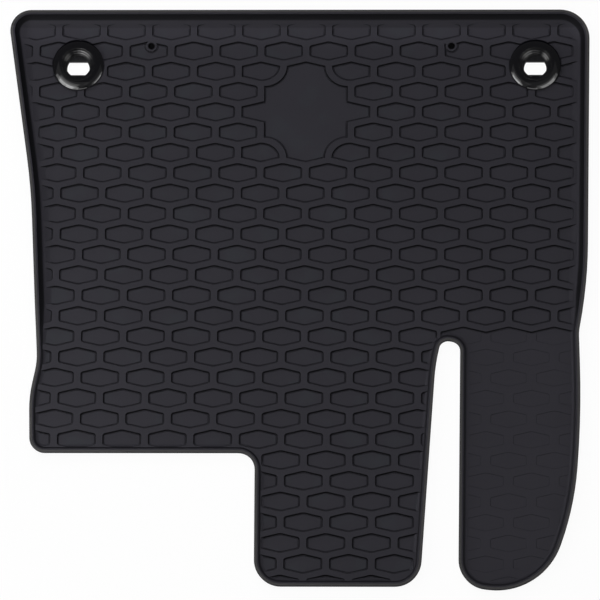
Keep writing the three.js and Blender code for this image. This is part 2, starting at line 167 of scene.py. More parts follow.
def turn(name: str, profile: Sequence[Pair], centre: Pair, steps: int) -> bpy.types.Object:
    """Spins a closed profile round an upright axis.

    Args:
        name: Name of the new object.
        profile: Radius and height of each corner of the profile, in millimetres.
        centre: Where the axis stands.
        steps: Number of steps round the whole turn.

    Returns:
        The new object, closed, with its faces outwards.
    """
    x, y = centre
    piece = lay_ring(name, [(x + radius, y, z) for radius, z in profile], filled=False)
    pick(piece)
    bpy.ops.object.mode_set(mode="EDIT")
    bpy.ops.mesh.select_all(action="SELECT")
    axis_foot = (x * MM, y * MM, 0)
    bpy.ops.mesh.spin(steps=steps, angle=math.tau, center=axis_foot, axis=UP)
    bpy.ops.object.mode_set(mode="OBJECT")
    close_up(piece)
    return piece


def settle(piece: bpy.types.Object, modifier: bpy.types.Modifier) -> None:
    """Applies one modifier."""
    pick(piece)
    bpy.ops.object.modifier_apply(modifier=modifier.name)


def combine(piece: bpy.types.Object, tool: bpy.types.Object, how: Join) -> None:
    """Joins one closed solid to another or cuts it away.

    Args:
        piece: The solid that changes.
        tool: The other solid, which is removed afterwards.
        how: Whether it is joined or cut away.
    """
    modifier = piece.modifiers.new(how.name, "BOOLEAN")
    modifier.operation = how.value
    modifier.solver = "MANIFOLD"
    modifier.object = tool
    settle(piece, modifier)
    bpy.data.objects.remove(tool)


def smooth(piece: bpy.types.Object, sharpest: float) -> None:
    """Shades a piece smooth, the large faces leading the small ones.

    Args:
        piece: The object.
        sharpest: Edges that turn by more degrees than this stay sharp.
    """
    pick(piece)
    bpy.ops.object.shade_smooth_by_angle(angle=math.radians(sharpest))
    modifier = piece.modifiers.new("lead", "WEIGHTED_NORMAL")
    modifier.keep_sharp = True
    settle(piece, modifier)


def gather(name: str, parts: Sequence[bpy.types.Object]) -> bpy.types.Object:
    """Joins the meshes of several objects into one object.

    Args:
        name: Its new name.
        parts: The objects.

    Returns:
        The joined object.
    """
    pick(parts[0])
    for part in parts:
        part.select_set(True)
    bpy.ops.object.join()
    parts[0].name = name
    return parts[0]


def at_level(points: Iterable[Pair], z: float) -> list[Place]:
    """Lifts flat points to one height."""
    return [(x, y, z) for x, y in points]


def moved(points: Iterable[Pair], centre: Pair) -> list[Pair]:
    """Moves flat points from the origin to a centre."""
    return [(x + centre[0], y + centre[1]) for x, y in points]


def shares(steps: int) -> list[float]:
    """The shares from 0 to 1 in so many steps."""
    return [step / steps for step in range(steps + 1)]


def drawn_in(points: Sequence[Pair], inset: float) -> list[Pair]:
    """Moves each side of a closed outline inwards.

    Args:
        points: Corners, counter-clockwise.
        inset: How far the sides move, negative for outwards.

    Returns:
        The corners where the moved sides meet.
    """
    drawn = []
    count = len(points)
    for i, (x, y) in enumerate(points):
        corner = Vector((x, y))
        before = (corner - Vector(points[i - 1])).normalized()
        after = (Vector(points[(i + 1) % count]) - corner).normalized()
        inward = Vector((-before.y - after.y, before.x + after.x)).normalized()
        lean = inward.dot(Vector((-before.y, before.x)))
        place = corner + inward * (inset / max(lean, LEAST_LEAN))
        drawn.append((place.x, place.y))
    return drawn


def clipped(points: Sequence[Pair], reach: float) -> list[Pair]:
    """Cuts off each corner of a closed outline.

    Args:
        points: The corners, in order.
        reach: How far along its two sides a corner is cut off.

    Returns:
        The new corners, in order.
    """
    cut = []
    count = len(points)
    for i, (x, y) in enumerate(points):
        corner = Vector((x, y))
        for other in (points[i - 1], points[(i + 1) % count]):
            place = corner + (Vector(other) - corner).normalized() * reach
            cut.append((place.x, place.y))
    return cut


def smoothstep(value: float, low: float, high: float) -> float:
    """The smooth step from 0 at low to 1 at high."""
    share = min(1.0, max(0.0, (value - low) / (high - low)))
    return share * share * (3 - 2 * share)


class Signal:
    """A socket that carries a number, with Python's operators in place of Math nodes."""

    def __init__(self, shader: "Shader", socket: bpy.types.NodeSocket | None) -> None:
        """Wraps an output socket of one of the shader's nodes."""
        self.shader = shader
        self.socket = socket

    def maths(self, operation: str, *values: Any, clamped: bool = False) -> "Signal":
        """Adds one Math node.

        Args:
            operation: The Math node's operation.
            values: Numbers or signals for its sockets, in order.
            clamped: Whether the result is kept between 0 and 1.

        Returns:
            The result.
        """
        settings = {"operation": operation, "use_clamp": clamped}
        return self.shader.node("ShaderNodeMath", settings, dict(enumerate(values)))

    def __add__(self, other: Any) -> "Signal":
        """Self plus other."""
        return self.maths("ADD", self, other)

    def __radd__(self, other: Any) -> "Signal":
        """Other plus self."""
        return self.maths("ADD", other, self)

    def __sub__(self, other: Any) -> "Signal":
        """Self minus other."""
        return self.maths("SUBTRACT", self, other)

    def __rsub__(self, other: Any) -> "Signal":
        """Other minus self."""
        return self.maths("SUBTRACT", other, self)

    def __mul__(self, other: Any) -> "Signal":
        """Self times other."""
        return self.maths("MULTIPLY", self, other)

    def __rmul__(self, other: Any) -> "Signal":
        """Other times self."""
        return self.maths("MULTIPLY", other, self)

    def __abs__(self) -> "Signal":
        """Size of self, without its sign."""
        return self.maths("ABSOLUTE", self)

    def between(self, low: float, high: float) -> "Signal":
        """The smooth step from 0 at low to 1 at high."""
        inputs = {0: self, 1: low, 2: high}
        return self.shader.node("ShaderNodeMapRange", {"interpolation_type": "SMOOTHSTEP"}, inputs)

    def within(self, reach: Pair) -> "Signal":
        """The smooth step from 0 to 1 between two lengths in millimetres."""
        return self.between(reach[0] * MM, reach[1] * MM)


class Shader:
    """A material that is built up node by node."""

    def __init__(self, name: str) -> None:
        """Starts a material without any nodes.

        Args:
            name: Its name.
        """
        self.material = bpy.data.materials.new(name)
        self.material.use_nodes = True
        self.tree = self.material.node_tree
        self.tree.nodes.clear()

    def node(
        self,
        kind: str,
        settings: dict[str, Any] | None = None,
        inputs: dict[int | str, Any] | None = None,
        output: int | str = 0,
    ) -> Signal:
        """Adds a node.

        Args:
            kind: The node's type.
            settings: Its properties, set first.
            inputs: Numbers, colours or signals for its sockets, by name or index.
            output: Name or index of the socket that carries the result.

        Returns:
            The result.
        """
        made = self.tree.nodes.new(kind)
        for key, value in (settings or {}).items():
            setattr(made, key, value)
        for key, value in (inputs or {}).items():
            if isinstance(value, Signal):
                self.tree.links.new(value.socket, made.inputs[key])
            else:
                made.inputs[key].default_value = value
        return Signal(self, made.outputs[output] if made.outputs else None)

    def place(self) -> Signal:
        """The place on the piece."""
        return self.node("ShaderNodeTexCoord", output="Object")

    def part(self, vector: Signal, axis: str) -> Signal:
        """One part of a vector: X, Y or Z."""
        return self.node("ShaderNodeSeparateXYZ", {}, {0: vector}, axis)

    def mixed(self, factor: Any, first: Any, second: Any) -> Signal:
        """Mixes two colours.

        Args:
            factor: 0 for the first colour, 1 for the second.
            first: A colour or a signal.
            second: A colour or a signal.

        Returns:
            The mixed colour.
        """
        paints = [(*paint, 1) if isinstance(paint, tuple) else paint for paint in (first, second)]
        inputs = {0: factor, 6: paints[0], 7: paints[1]}
        return self.node("ShaderNodeMix", {"data_type": "RGBA"}, inputs, 2)

    def noise(self, place: Signal, scale: float, detail: float) -> Signal:
        """Noise of so many spots a metre, as fine as its detail."""
        inputs = {"Vector": place, "Scale": scale, "Detail": detail}
        return self.node("ShaderNodeTexNoise", {}, inputs)

    def bump(self, height: Signal, distance: float, strength: float) -> Signal:
        """A normal that follows a height between 0 and 1, its full height in millimetres."""
        inputs = {"Height": height, "Distance": distance * MM, "Strength": strength}
        return self.node("ShaderNodeBump", {}, inputs)

    def surface(
        self, paint: Signal, rough: Signal, relief: Signal, sheen: float
    ) -> bpy.types.Material:
        """Finishes the material with a plain surface.

        Args:
            paint: Its colour.
            rough: Its roughness.
            relief: Its normal.
            sheen: Its specular level.

        Returns:
            The material.
        """
        inputs = {"Base Color": paint, "Roughness": rough, "Normal": relief}
        inputs["Specular IOR Level"] = sheen
        skin = self.node("ShaderNodeBsdfPrincipled", {}, inputs)
        self.node("ShaderNodeOutputMaterial", {}, {"Surface": skin})
        return self.material


@dataclass(frozen=True)
class RubberFinish:
    """Moulded black rubber, grey on the flats, with painted shade on the steep walls, in the deep
    holes and along the cove, and a painted highlight on the crest.

    Levels, bands and places are in millimetres. A noise is given as its scale and detail, a relief as
    its depth and strength, and a mask as where it starts and where it is full.
    """

    flat: Colour = (0.0333, 0.0318, 0.0403)
    dusted: Colour = (0.035, 0.0362, 0.0442)
    # Painted shade: the steep walls take this darker colour in place of their shade.
    wall: Colour = (0.004, 0.004, 0.0052)
    # Painted shade: near-black colour for the boss holes and the underside, below the hole levels.
    hole_shade: Colour = (0.0025, 0.0025, 0.003)
    # Painted highlight: lighter colour along the rim's crest.
    crest_highlight: Colour = (0.076, 0.074, 0.073)
    roughness: float = 0.62
    sheen: float = 0.11
    floor_z: float = 6.0
    floor_reach: Pair = (0.15, 0.45)
    hole_levels: Pair = (4.4, 5.2)
    # Where the painted highlight on the crest starts and ends, as distance from the edge.
    highlight_start: Pair = (0.24, 0.8)
    highlight_end: Pair = (2.5, 3.1)
    highlight_share: float = 0.85
    dust_share: float = 0.8
    flat_lift: Pair = (0.55, 0.85)
    crest_lift: Pair = (0.3, 0.8)
    patch_reach: Pair = (0.5, 0.7)
    seat_strip: Pair = (256.0, 276.0)
    # Where the painted shade along the cove by the tall rim at the seat edge begins and is full.
    cove_shade_start: Pair = (281.0, 283.0)
    footrest_start: Pair = (150.0, 160.0)
    cloud: Pair = (11, 3)
    patch: Pair = (38, 2)
    speck: Pair = (900, 3)
    grain: Pair = (2600, 2)
    tone: float = 0.86
    cloud_tone: float = 0.18
    speck_tone: float = 0.1
    seat_tone: float = 0.3
    cove_shade: float = 0.37
    cloud_rough: float = 0.1
    speck_rough: float = 0.14
    crest_polish: float = 0.16
    speck_relief: float = 0.6
    grain_relief: float = 0.4
    relief: Pair = (0.08, 0.35)

    def material(self) -> bpy.types.Material:
        """Builds the node material.

        Returns:
            The material.
        """
        shader = Shader("moulded_rubber")
        place = shader.place()
        across, along, height = (shader.part(place, axis) for axis in "XYZ")
        facing = shader.node("ShaderNodeNewGeometry", output="Normal")
        lift = abs(shader.part(facing, "Z"))
        depth = shader.node("ShaderNodeAttribute", {"attribute_name": "rim_depth"}, output="Fac")
        cloud = shader.noise(place, *self.cloud)
        patch = shader.noise(place, *self.patch)
        speck = shader.noise(place, *self.speck)
        grain = shader.noise(place, *self.grain)
        is_flat = lift.between(*self.flat_lift)
        deep = 1 - height.within(self.hole_levels)
        on_floor = 1 - abs(height - self.floor_z * MM).within(self.floor_reach)
        # Band along the rim's crest, its upward-facing part, for the painted highlight and the
        # smoother finish.
        band = depth.within(self.highlight_start) * (1 - depth.within(self.highlight_end))
        crest = band * lift.between(*self.crest_lift)
        tread = 1 - across.within(self.footrest_start)
        dust = on_floor * tread * patch.between(*self.patch_reach) * self.dust_share
        paint = shader.mixed(dust, self.flat, self.dusted)
        # Painted shade: the darker wall colour goes where the normal leans steeply.
        paint = shader.mixed(1 - is_flat, paint, self.wall)
        # Painted shade in the boss holes and under the sheet, below the hole levels.
        paint = shader.mixed(deep, paint, self.hole_shade)
        # Painted highlight on the upward-facing band of the rim's crest.
        paint = shader.mixed(crest * self.highlight_share, paint, self.crest_highlight)
        seat = along.within(self.seat_strip)
        # Painted shade: darker along the cove by the tall rim at the seat edge.
        cove = along.within(self.cove_shade_start)
        tone = self.tone + self.cloud_tone * cloud + self.speck_tone * speck
        # Lighter from the seat strip towards the seat edge; painted shade darkens the cove by the tall
        # rim.
        tone = tone + self.seat_tone * seat - self.cove_shade * cove
        scale = shader.node("ShaderNodeCombineColor", {}, {0: tone, 1: tone, 2: tone})
        tinted = {"data_type": "RGBA", "blend_type": "MULTIPLY"}
        paint = shader.node("ShaderNodeMix", tinted, {0: 1.0, 6: paint, 7: scale}, 2)
        rough = self.roughness + self.cloud_rough * (cloud - 0.5) + self.speck_rough * (speck - 0.5)
        rough = rough - self.crest_polish * crest
        uneven = self.speck_relief * speck + self.grain_relief * grain
        relief = shader.bump(uneven, *self.relief)
        return shader.surface(paint, rough, relief, self.sheen)


@dataclass(frozen=True)
class GlossFinish:
    """Polished black plastic with a faint ripple, hairline scuffs and dull ledges."""

    black: Colour = (0.0022, 0.002, 0.0034)
    scuffed: Colour = (0.01, 0.01, 0.011)
    roughness: float = 0.05
    sheen: float = 0.5
    dull_levels: Pair = (3.4, 4.2)
    dull_rough: float = 0.2
    hair_stretch: Place = (3.0, 0.25, 1.0)
    hair_reach: Pair = (0.6, 0.75)
    ripple: Pair = (160, 1)
    scuff: Pair = (1300, 4)
    hair: Pair = (2400, 2)
    hair_wear: float = 0.12
    scuff_wear: float = 0.1
    dull_wear: float = 0.5
    scuff_rough: float = 0.05
    hair_rough: float = 0.08
    relief: Pair = (0.05, 0.25)

    def material(self) -> bpy.types.Material:
        """Builds the node material.

        Returns:
            The material.
        """
        shader = Shader("polished_plastic")
        place = shader.place()
        height = shader.part(place, "Z")
        ripple = shader.noise(place, *self.ripple)
        scuff = shader.noise(place, *self.scuff)
        stretched = shader.node("ShaderNodeMapping", {}, {"Vector": place, "Scale": self.hair_stretch})
        hair = shader.noise(stretched, *self.hair).between(*self.hair_reach)
        low = 1 - height.within(self.dull_levels)
        worn = self.hair_wear * hair + self.scuff_wear * scuff + self.dull_wear * low * scuff
        paint = shader.mixed(worn, self.black, self.scuffed)
        rough = self.roughness + self.scuff_rough * (scuff - 0.5) + self.hair_rough * hair
        rough = rough + self.dull_rough * low
        relief = shader.bump(ripple, *self.relief)
        return shader.surface(paint, rough, relief, self.sheen)


@dataclass(frozen=True)
class DullFinish:
    """Plain moulded black plastic with a fine spark-eroded grain."""

    black: Colour = (0.01, 0.01, 0.011)
    grey: Colour = (0.02, 0.02, 0.021)
    roughness: float = 0.5
    sheen: float = 0.4
    spark: Pair = (1800, 3)
    cloud: Pair = (90, 2)
    spark_tone: float = 0.5
    cloud_tone: float = 0.4
    spark_rough: float = 0.2
    cloud_rough: float = 0.1
    relief: Pair = (0.06, 0.4)

    def material(self) -> bpy.types.Material:
        """Builds the node material.

        Returns:
            The material.
        """
        shader = Shader("moulded_plastic")
        place = shader.place()
        spark = shader.noise(place, *self.spark)
        cloud = shader.noise(place, *self.cloud)
        tone = self.spark_tone * spark + self.cloud_tone * cloud
        paint = shader.mixed(tone, self.black, self.grey)
        rough = self.roughness + self.spark_rough * (spark - 0.5) + self.cloud_rough * (cloud - 0.5)
        relief = shader.bump(spark, *self.relief)
        return shader.surface(paint, rough, relief, self.sheen)


@dataclass(frozen=True)
class FloorFinish:
    """Matt white studio paper that keeps a light shadow."""

    paper: Colour = (0.9, 0.9, 0.9)
    fibres: Colour = (0.88, 0.88, 0.875)
    fibre: Pair = (600, 3)
    own_light: float = 0.92
    glow: float = 1.03

    def material(self) -> bpy.types.Material:
        """Builds the node material.

        Returns:
            The material.
        """
        shader = Shader("studio_paper")
        place = shader.place()
        fibre = shader.noise(place, *self.fibre)
        paint = shader.mixed(fibre, self.paper, self.fibres)
        matt = shader.node("ShaderNodeBsdfDiffuse", {}, {"Color": paint})
        glow = shader.node("ShaderNodeEmission", {}, {"Color": (1, 1, 1, 1), "Strength": self.glow})
        rays = [
            shader.node("ShaderNodeLightPath", output=f"Is {ray} Ray")
            for ray in ("Camera", "Glossy", "Transmission")
        ]
        seen = rays[0].maths("ADD", rays[0] + rays[1], rays[2], clamped=True) * self.own_light
        mix = shader.node("ShaderNodeMixShader", {}, {0: seen, 1: matt, 2: glow})
        shader.node("ShaderNodeOutputMaterial", {}, {"Surface": mix})
        return shader.material


@dataclass
class Heights:
    """Levels of the moulding above the floor, in millimetres.

    Cutters reach from below it to above it. What stands on the sheet starts at the root, inside it.
    """

    under: float = 3.5
    floor: float = 6.0
    web: float = 8.0
    faint: float = 6.4
    above: float = 9.0
    below: float = -1.0
    root: float = 5.0


@dataclass
class Outline:
    """The mat's edge, in millimetres.

    Each corner is a point and the radius of its round. Each station is a point of the edge, the way
    out there, and the room that an inset has. A fall is the stretch of a side, along Y, on which the
    rim comes down from tall to low.
    """

    corners: tuple[Place, ...] = (
        (-297.75, 298.6, 21.4),
        (-271.2, 113.6, 663.0),
        (-263.0, -65.1, 73.0),
        (-270.5, -101.0, 121.0),
        (-269.4, -158.8, 15.3),
        (-42.4, -158.8, 17.0),
        (-42.4, -295.0, 27.0),
        (124.2, -295.0, 27.0),
        (139.2, -66.8, 244.0),
        (145.0, -42.5, 11.2),
        (164.0, -45.7, 11.2),
        (162.7, -294.7, 30.0),
        (247.3, -304.2, 70.5),
        (279.1, -213.5, 316.0),
        (286.2, -119.6, 1020.0),
        (283.6, -33.8, 65.5),
        (292.5, 13.4, 609.0),
        (294.8, 298.6, 30.0),
    )
    sag: float = 0.06
    least_corner: float = 0.5
    room_share: float = 0.98
    tunnel_fall: Pair = (-50.8, 1.2)
    door_fall: Pair = (-29.8, 11.2)
    fall_steps: int = 8
    stations: list[Station] = field(default_factory=list)

    def __post_init__(self) -> None:
        """Works out the stations."""
        points = [Vector((x, y)) for x, y, _ in self.corners]
        rounds = []
        for i, (point, reach) in enumerate(zip(points, self.reaches(points))):
            rounds += self.rounded(point, points[i - 1], points[(i + 1) % len(points)], reach)
        falls = (self.tunnel_fall, self.door_fall)
        parts = shares(self.fall_steps)
        levels = [low + share * (high - low) for low, high in falls for share in parts]
        self.stations = self.split(rounds, levels)

    def reaches(self, points: list[Vector]) -> list[float]:
        """How far the rounds reach along the sides, less where two of them would meet.

        Args:
            points: The corners.

        Returns:
            The reach of each corner's round.
        """
        count = len(points)
        lengths = [(points[(i + 1) % count] - point).length for i, point in enumerate(points)]
        wanted = []
        for i, point in enumerate(points):
            half = (points[i - 1] - point).angle(points[(i + 1) % count] - point) / 2
            wanted.append(self.corners[i][2] / math.tan(half))
        return [
            reach
            * min(
                1,
                self.room_share * lengths[i - 1] / (reach + wanted[i - 1]),
                self.room_share * lengths[i] / (reach + wanted[(i + 1) % count]),
            )
            for i, reach in enumerate(wanted)
        ]

    def rounded(self, corner: Vector, before: Vector, after: Vector, reach: float) -> list[Station]:
        """Stations along the round of one corner.

        Args:
            corner: The corner.
            before: The corner before it.
            after: The corner after it.
            reach: How far the round reaches along both sides.

        Returns:
            The stations, in order.
        """
        back = (before - corner).normalized()
        ahead = (after - corner).normalized()
        way_in = math.atan2(back.y, back.x) + math.pi / 2
        half = back.angle(ahead) / 2
        bend = reach * math.tan(half)
        convex = ahead.x * back.y - ahead.y * back.x > 0
        sign = 1 if convex else -1
        centre = corner + (back + ahead).normalized() * (bend / math.sin(half))
        turned = sign * (math.pi - 2 * half)
        steps = max(1, math.ceil(abs(turned) / (2 * math.acos(1 - self.sag / bend))))
        room = bend - self.least_corner if convex else math.inf
        found = []
        for share in shares(steps):
            angle = way_in + turned * share
            out = Vector((math.cos(angle), math.sin(angle)))
            found.append((centre + out * (sign * bend), out, room))
        return found

    @staticmethod
    def split(rounds: list[Station], levels: list[float]) -> list[Station]:
        """Adds stations where straight runs pass some levels.

        Args:
            rounds: The stations so far.
            levels: Places along Y.

        Returns:
            All the stations, in order.
        """
        found = []
        for i, (point, out, room) in enumerate(rounds):
            end, end_out, end_room = rounds[(i + 1) % len(rounds)]
            found.append((point, out, room))
            rise = end.y - point.y
            if abs(rise) < LEAST_RISE:
                continue
            for along in sorted((level - point.y) / rise for level in levels):
                if 0 < along < 1:
                    way = out.lerp(end_out, along).normalized()
                    found.append((point.lerp(end, along), way, min(room, end_room)))
        return found

    def tallness(self, point: Vector) -> float:
        """1 where the rim is tall, 0 where it is low."""
        return smoothstep(point.y, *(self.tunnel_fall if point.x < 0 else self.door_fall))

    def ring(self, inset: Callable[[float], float], z: Callable[[float], float]) -> list[Place]:
        """A ring parallel to the edge.

        Args:
            inset: Gives how far inside the edge it runs, from the tallness of the rim there.
            z: Gives its height, from the tallness.

        Returns:
            The places of the ring.
        """
        places = []
        for point, out, room in self.stations:
            tall = self.tallness(point)
            place = point - out * min(inset(tall), room)
            places.append((place.x, place.y, z(tall)))
        return places

    def depth(self, x: float, y: float) -> float:
        """Measures how deep inside the edge a point lies.

        Args:
            x: Its place along X.
            y: Its place along Y.

        Returns:
            The distance to the edge, negative outside it.
        """
        point = Vector((x, y))
        inside = False
        nearest = math.inf
        for i, (start, _, _) in enumerate(self.stations):
            end = self.stations[(i + 1) % len(self.stations)][0]
            run = end - start
            offset = point - start
            along = min(1.0, max(0.0, offset.dot(run) / max(run.length_squared, LEAST_SQUARE)))
            nearest = min(nearest, (offset - run * along).length)
            if (start.y > y) != (end.y > y) and offset.x < run.x * offset.y / run.y:
                inside = not inside
        return nearest if inside else -nearest


@dataclass
class RimSection:
    """The low or tall rim cut across, in millimetres: outer wall, round crest, inner wall and cove."""

    outer_draft: float
    crest_z: float
    crest_width: float
    wall_run: float
    cove_run: float
    cove_rise: float
    crest_round: float = 1.0
    inner_round: float = 0.7
    shoulder_reach: Pair = (0.8, 0.15)
    shoulder_dip: float = 0.02
    shoulder_share: float = 0.16
    round_steps: int = 3
    cove_steps: int = 5
    cove_power: float = 1.5

    def points(self, heights: Heights) -> list[Pair]:
        """The section, from the outer foot over the crest to the inner foot.

        Args:
            heights: Levels of the moulding.

        Returns:
            Insets from the edge and heights.
        """
        quarter = [math.pi / 2 * share for share in shares(self.round_steps)]
        bend, wall_top = self.crest_round, self.crest_round + self.crest_width
        wall_foot = wall_top + self.wall_run
        outer = [(bend * (1 - math.cos(a)), self.crest_z - bend * (1 - math.sin(a))) for a in quarter]
        foot_z = heights.floor + self.cove_rise
        slope = (self.crest_z - foot_z) / self.wall_run
        drop = self.inner_round * slope / math.hypot(1, slope)
        ease = self.inner_round / math.hypot(1, slope)
        far, near = self.shoulder_reach
        inner = [
            (wall_top - self.inner_round * far, self.crest_z - self.shoulder_dip),
            (wall_top - self.inner_round * near, self.crest_z - self.shoulder_share * drop),
            (wall_top + ease, self.crest_z - drop),
        ]
        cove = [
            (
                wall_foot + self.cove_run * share,
                heights.floor + self.cove_rise * (1 - share) ** self.cove_power,
            )
            for share in shares(self.cove_steps)
        ]
        inner_foot = wall_foot + self.cove_run
        under = heights.under
        return [(self.outer_draft, under), *outer, *inner, *cove, (inner_foot, under)]


@dataclass
class PocketPattern:
    """Hexagonal pockets between the webs, and the two bare panels among them, in millimetres."""

    pitch_x: float = 45.81
    pitch_y: float = 21.16
    width: float = 39.0
    point_length: float = 20.5
    side_length: float = 11.3
    corner_reach: float = 1.4
    centre: Pair = (6.7, 193.8)
    reach: Pair = (300.0, 310.0)
    arc_steps: int = 8
    panel_half: int = 2
    footrest_row: int = -11
    footrest_column: int = 6
    footrest_middle: float = 154.5
    footrest_turns: int = 9

    @property
    def halves(self) -> Place:
        """Half of a pocket's width, of its side and of the way between its points."""
        return self.width / 2, self.side_length / 2, self.point_length / 2

    def places(self) -> list[tuple[int, int, Pair]]:
        """Finds all the places of the lattice inside its reach.

        Returns:
            Columns of half a pitch, rows and centres.
        """
        columns = math.ceil(2 * self.reach[0] / self.pitch_x) + 1
        rows = math.ceil(2 * self.reach[1] / self.pitch_y)
        found = []
        for row in range(-rows, rows + 1):
            for column in range(-columns, columns + 1):
                x = self.centre[0] + column * self.pitch_x / 2
                y = self.centre[1] + row * self.pitch_y
                if (column + row) % 2 == 0 and abs(y) < self.reach[1]:
                    found.append((column, row, (x, y)))
        return found

    @property
    def slope(self) -> float:
        """Slope of a pocket's slanted sides."""
        return (self.point_length - self.side_length) / self.width

    def hexagon(self) -> list[Pair]:
        """The corners of a pocket round its centre."""
        half, side, point = self.halves
        return [(half, -side), (half, side), (0, point), (-half, side), (-half, -side), (0, -point)]

    def cut_hexagon(self, way_x: int, way_y: int) -> list[Pair]:
        """The pocket beside the bare panel, its corner towards the panel rounded off.

        Args:
            way_x: 1 or -1 for the side of the panel that it is on.
            way_y: 1 or -1 for the end of the panel that it is at.

        Returns:
            The corners round its centre.
        """
        half, side, point = self.halves
        angles = [math.pi * (1 + share / 2) for share in shares(self.arc_steps)]
        arc = [(half * math.cos(a), side + (point + side) * math.sin(a)) for a in angles]
        corners = [*arc, (half, -side), (half, side), (0, point)]
        points = [(x * way_x, y * way_y) for x, y in corners]
        return points if way_x * way_y > 0 else points[::-1]

    def panel(self) -> list[Pair]:
        """Outline of the bare panel: nine pockets in a diamond, run together.

        Returns:
            The corners round its centre, counter-clockwise.
        """
        half, side, point = self.halves
        shoulder = self.pitch_x / 2 + half
        waist = point + (self.pitch_x - shoulder) * self.slope
        arc = []
        for share in shares(self.arc_steps):
            angle = math.pi * (1.5 - share / 2)
            x = shoulder + self.pitch_x / 2 * math.cos(angle)
            arc.append((min(x, shoulder), 2 * self.pitch_y + side + self.pitch_y * math.sin(angle)))
        corner = [(self.pitch_x + half, side), (shoulder, waist), *arc]
        tip = (0, 2 * self.pitch_y + point)

        def mirrored(points: Sequence[Pair], x: int, y: int) -> list[Pair]:
            """The points on another side of the centre."""
            return [(a * x, b * y) for a, b in points]

        return [
            *corner,
            tip,
            *mirrored(corner, -1, 1)[::-1],
            *mirrored(corner, -1, -1),
            *mirrored([tip], 1, -1),
            *mirrored(corner, 1, -1)[::-1],
        ]

    def footrest(self) -> list[Pair]:
        """Outline of the footrest panel, a zigzag along its seat side.

        Returns:
            The corners, counter-clockwise.
        """
        first, row = self.footrest_column, self.footrest_row
        peak = self.centre[1] + row * self.pitch_y + self.point_length / 2
        valley = peak - self.pitch_x / 2 * self.slope
        zigzag = [
            (self.centre[0] + (first + i) * self.pitch_x / 2, peak if i % 2 else valley)
            for i in range(self.footrest_turns)
        ]
        below = -self.reach[1] - self.point_length
        return [(zigzag[0][0], below), (zigzag[-1][0], below), *zigzag[::-1]]

    def in_footrest(self, row: int, centre: Pair) -> bool:
        """True for a pocket of the footrest panel."""
        return row <= self.footrest_row and centre[0] > self.footrest_middle


